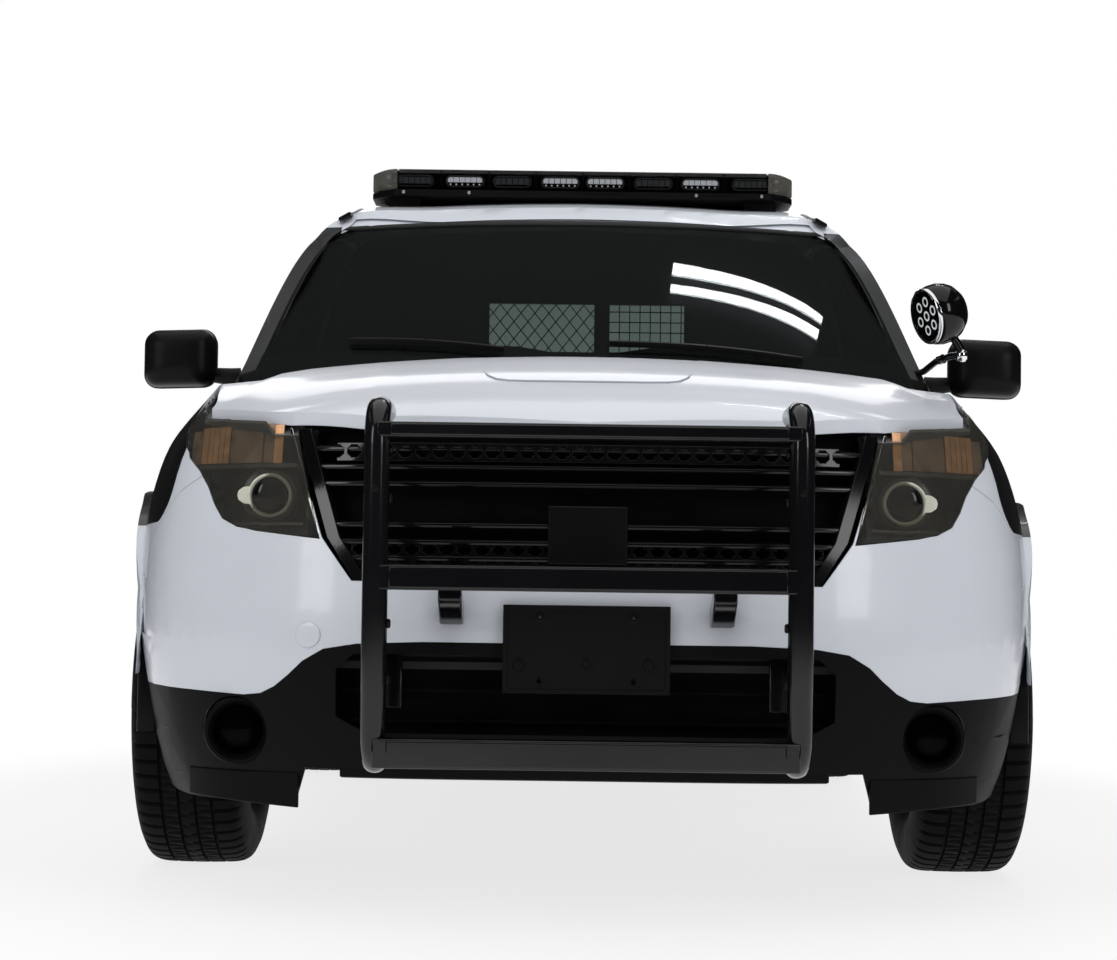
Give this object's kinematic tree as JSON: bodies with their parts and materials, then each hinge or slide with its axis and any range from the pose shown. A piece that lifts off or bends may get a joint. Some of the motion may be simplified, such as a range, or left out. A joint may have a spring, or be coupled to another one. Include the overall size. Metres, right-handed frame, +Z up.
{
  "type": "police sport utility vehicle",
  "caption": "Four-door police utility vehicle with a roof light bar, spotlight, front push bumper, opening doors, hood and liftgate, steering and rolling wheels.",
  "frame": {"origin": "on the ground, at the middle of the length over the bumpers and of the width", "axes": "+Z up, the front faces -Y, the vehicle's left side is towards +X"},
  "size_m": [2.29, 5.166, 1.8479],
  "materials": {
    "paint": "gloss white paint",
    "frame_metal": "dark primer",
    "cast": "cast",
    "alloy": "cast",
    "steel": "satin",
    "tyre": "matte",
    "rim_paint": "satin black",
    "gloss_black": "gloss",
    "push_paint": "gloss black powder coat",
    "black_plastic": "grained",
    "lamp": "clear",
    "lamp_red": "red",
    "bar_lens": "clear",
    "glass": "dark tint",
    "trim_plastic": "grained",
    "seat": "woven"
  },
  "bodies": {
    "body": {"underbody": "frame_metal", "front_subframe": "frame_metal", "rear_axle": "cast", "engine": "alloy", "cooling_pack": "alloy", "fuel_tank": "black_plastic", "exhaust": "steel", "rear_bumper": "paint", "push_bumper": "push_paint", "plate_bracket": "black_plastic", "grille": "gloss_black", "light_bar_base": "black_plastic", "light_bar_lens": "bar_lens", "spotlight": "gloss_black", "dashboard": "trim_plastic", "front_seats": "seat", "rear_seat": "seat", "partition": "frame_metal", "body_side_left": "paint", "body_side_right": "paint", "roof_panel": "paint", "bulkhead": "frame_metal", "front_fenders": "paint", "bumper_cover": "paint", "lower_fascia": "black_plastic", "headlamps": "lamp", "tail_lamps": "lamp_red", "windshield": "glass", "quarter_glass": "glass"},
    "hood": {"hood": "paint"},
    "liftgate": {"liftgate": "paint", "liftgate_glass": "glass"},
    "door_front_left": {"door_front_left": "paint", "glass_front_left": "glass", "mirror_left": "black_plastic"},
    "door_rear_left": {"door_rear_left": "paint", "glass_rear_left": "glass"},
    "knuckle_left": {"knuckle_left": "cast"},
    "wheel_front_left": {"tyre_front_left": "tyre", "rim_front_left": "rim_paint"},
    "wheel_rear_left": {"tyre_rear_left": "tyre", "rim_rear_left": "rim_paint"},
    "door_front_right": {"door_front_right": "paint", "glass_front_right": "glass", "mirror_right": "black_plastic"},
    "door_rear_right": {"door_rear_right": "paint", "glass_rear_right": "glass"},
    "knuckle_right": {"knuckle_right": "cast"},
    "wheel_front_right": {"tyre_front_right": "tyre", "rim_front_right": "rim_paint"},
    "wheel_rear_right": {"tyre_rear_right": "tyre", "rim_rear_right": "rim_paint"}
  },
  "joints": [
    {"name": "door_front_left_swing", "type": "hinge", "parent": "body", "child": "door_front_left", "pos_m": [0.96505, -0.835, 0.72], "axis": [0, 0, -1], "range_deg": [0, 65]},
    {"name": "door_rear_left_swing", "type": "hinge", "parent": "body", "child": "door_rear_left", "pos_m": [0.967, 0.2035, 0.72], "axis": [0, 0, -1], "range_deg": [0, 65]},
    {"name": "steer_left", "type": "hinge", "parent": "body", "child": "knuckle_left", "pos_m": [0.791, -1.455, 0.363], "axis": [0, 0, 1], "range_deg": [-33, 33]},
    {"name": "wheel_front_left_spin", "type": "hinge", "parent": "knuckle_left", "child": "wheel_front_left", "pos_m": [0.851, -1.455, 0.363], "axis": [1, 0, 0], "continuous": true},
    {"name": "wheel_rear_left_spin", "type": "hinge", "parent": "body", "child": "wheel_rear_left", "pos_m": [0.851, 1.405, 0.363], "axis": [1, 0, 0], "continuous": true},
    {"name": "door_front_right_swing", "type": "hinge", "parent": "body", "child": "door_front_right", "pos_m": [-0.96505, -0.835, 0.72], "axis": [0, 0, 1], "range_deg": [0, 65]},
    {"name": "door_rear_right_swing", "type": "hinge", "parent": "body", "child": "door_rear_right", "pos_m": [-0.967, 0.2035, 0.72], "axis": [0, 0, 1], "range_deg": [0, 65]},
    {"name": "steer_right", "type": "hinge", "parent": "body", "child": "knuckle_right", "pos_m": [-0.791, -1.455, 0.363], "axis": [0, 0, 1], "range_deg": [-33, 33]},
    {"name": "wheel_front_right_spin", "type": "hinge", "parent": "knuckle_right", "child": "wheel_front_right", "pos_m": [-0.851, -1.455, 0.363], "axis": [1, 0, 0], "continuous": true},
    {"name": "wheel_rear_right_spin", "type": "hinge", "parent": "body", "child": "wheel_rear_right", "pos_m": [-0.851, 1.405, 0.363], "axis": [1, 0, 0], "continuous": true},
    {"name": "hood_lift", "type": "hinge", "parent": "body", "child": "hood", "pos_m": [0, -0.91, 1.09], "axis": [-1, 0, 0], "range_deg": [0, 45]},
    {"name": "liftgate_lift", "type": "hinge", "parent": "body", "child": "liftgate", "pos_m": [0, 2.219, 1.648], "axis": [1, 0, 0], "range_deg": [0, 80]}
  ],
  "couplings": [
    {"joint": "steer_right", "follows": "steer_left", "ratio": 1}
  ]
}
